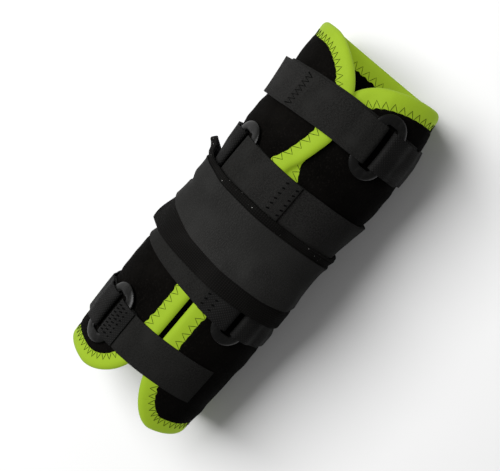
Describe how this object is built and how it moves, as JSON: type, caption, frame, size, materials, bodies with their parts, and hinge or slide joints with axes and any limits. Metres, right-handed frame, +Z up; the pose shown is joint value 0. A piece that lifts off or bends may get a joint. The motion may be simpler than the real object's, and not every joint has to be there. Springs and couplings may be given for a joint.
{
  "type": "elbow brace",
  "caption": "Wrap-round padded elbow sleeve with a lengthwise slit, bright bound edges, straps folded back through moulded rings and a wide elastic elbow band.",
  "frame": {"origin": "middle of the flat that the brace rests on, below the elbow", "axes": "+X along the arm towards the upper arm, +Z up through the slit, -Y the right-hand side seen from the front with the upper arm at the top"},
  "size_m": [0.2853, 0.1289, 0.1132],
  "materials": {
    "sleeve_cloth": "matte black brushed loop cloth over foam",
    "pad_cloth": "matte black fine knit",
    "binding_cloth": "bright yellow-green stretch binding with black zigzag stitching",
    "strap_webbing": "dark grey brushed webbing",
    "hook_tab_cloth": "dark grey rough cloth tab",
    "loop_webbing": "black webbing",
    "band_elastic": "dark grey elastic with fine ribs",
    "ring_plastic": "black moulded plastic, satin"
  },
  "bodies": {
    "root": {"sleeve_wrap": "sleeve_cloth", "edge_binding": "binding_cloth", "upper_arm_strap": "strap_webbing", "upper_arm_hook_tab": "hook_tab_cloth", "upper_arm_ring": "ring_plastic", "upper_arm_ring_loop": "loop_webbing", "above_elbow_strap": "strap_webbing", "above_elbow_hook_tab": "hook_tab_cloth", "above_elbow_ring": "ring_plastic", "above_elbow_ring_loop": "loop_webbing", "below_elbow_strap_loop": "loop_webbing", "below_elbow_strap": "strap_webbing", "below_elbow_ring": "ring_plastic", "below_elbow_ring_loop": "loop_webbing", "forearm_strap_loop": "loop_webbing", "forearm_strap": "strap_webbing", "forearm_ring": "ring_plastic", "forearm_ring_loop": "loop_webbing", "elbow_pad": "pad_cloth", "elbow_band": "band_elastic"}
  },
  "joints": []
}
